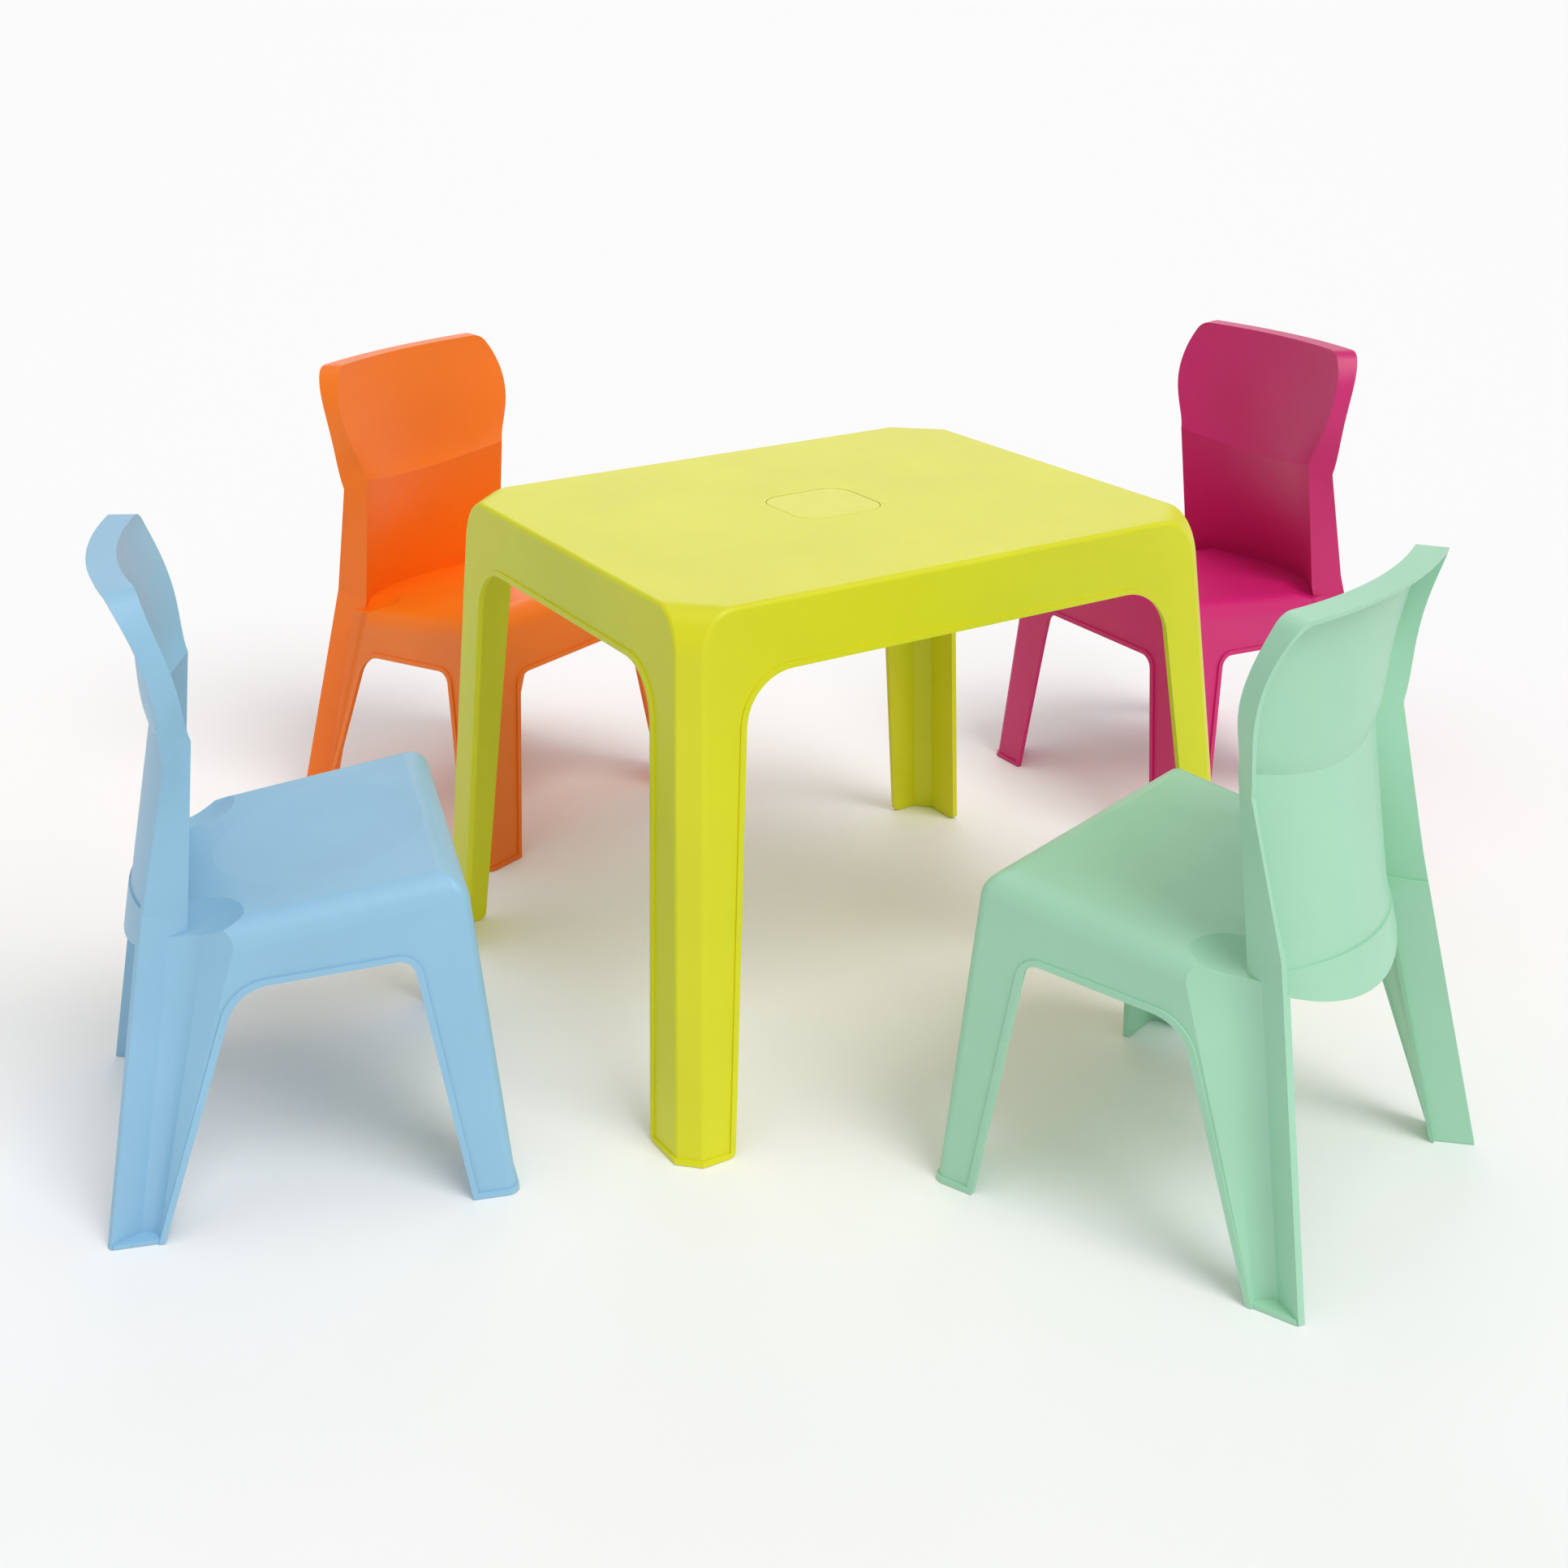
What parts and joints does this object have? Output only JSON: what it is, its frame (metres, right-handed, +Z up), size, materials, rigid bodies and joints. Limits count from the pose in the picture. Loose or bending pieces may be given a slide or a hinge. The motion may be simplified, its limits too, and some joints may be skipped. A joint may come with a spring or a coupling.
{
  "type": "kids table and chairs",
  "caption": "Low moulded play table with a rounded-square centre cap, ringed by one-piece child chairs with splayed legs and curved backs.",
  "frame": {"origin": "on the floor, under the centre of the whole set's bounding box", "axes": "+Z is up, +X runs along the table's long side, +Y across it"},
  "size_m": [1.5566, 1.4976, 0.5369],
  "materials": {
    "lime_plastic": "fine satin",
    "lime_cap_plastic": "semi-gloss",
    "blue_plastic": "fine satin",
    "orange_plastic": "fine satin",
    "pink_plastic": "fine satin",
    "mint_plastic": "fine satin"
  },
  "bodies": {
    "table": {"table": "lime_plastic"},
    "cap": {"centre_cap": "lime_cap_plastic"},
    "chair_blue": {"chair_blue": "blue_plastic"},
    "chair_orange": {"chair_orange": "orange_plastic"},
    "chair_pink": {"chair_pink": "pink_plastic"},
    "chair_mint": {"chair_mint": "mint_plastic"}
  },
  "joints": [
    {"name": "cap_lift", "type": "slide", "parent": "table", "child": "cap", "axis": [0, 0, 1], "range_m": [0, 0.06]},
    {"name": "blue_chair_slide", "type": "slide", "parent": "table", "child": "chair_blue", "axis": [0.9646, -0.2639, 0], "range_m": [-0.3, 0.1]},
    {"name": "orange_chair_slide", "type": "slide", "parent": "table", "child": "chair_orange", "axis": [0.3859, -0.9225, 0], "range_m": [-0.3, 0.195]},
    {"name": "pink_chair_slide", "type": "slide", "parent": "table", "child": "chair_pink", "axis": [-0.9999, 0.0157, 0], "range_m": [-0.3, 0.165]},
    {"name": "mint_chair_slide", "type": "slide", "parent": "table", "child": "chair_mint", "axis": [-0.3206, 0.9472, 0], "range_m": [-0.3, 0.195]}
  ]
}
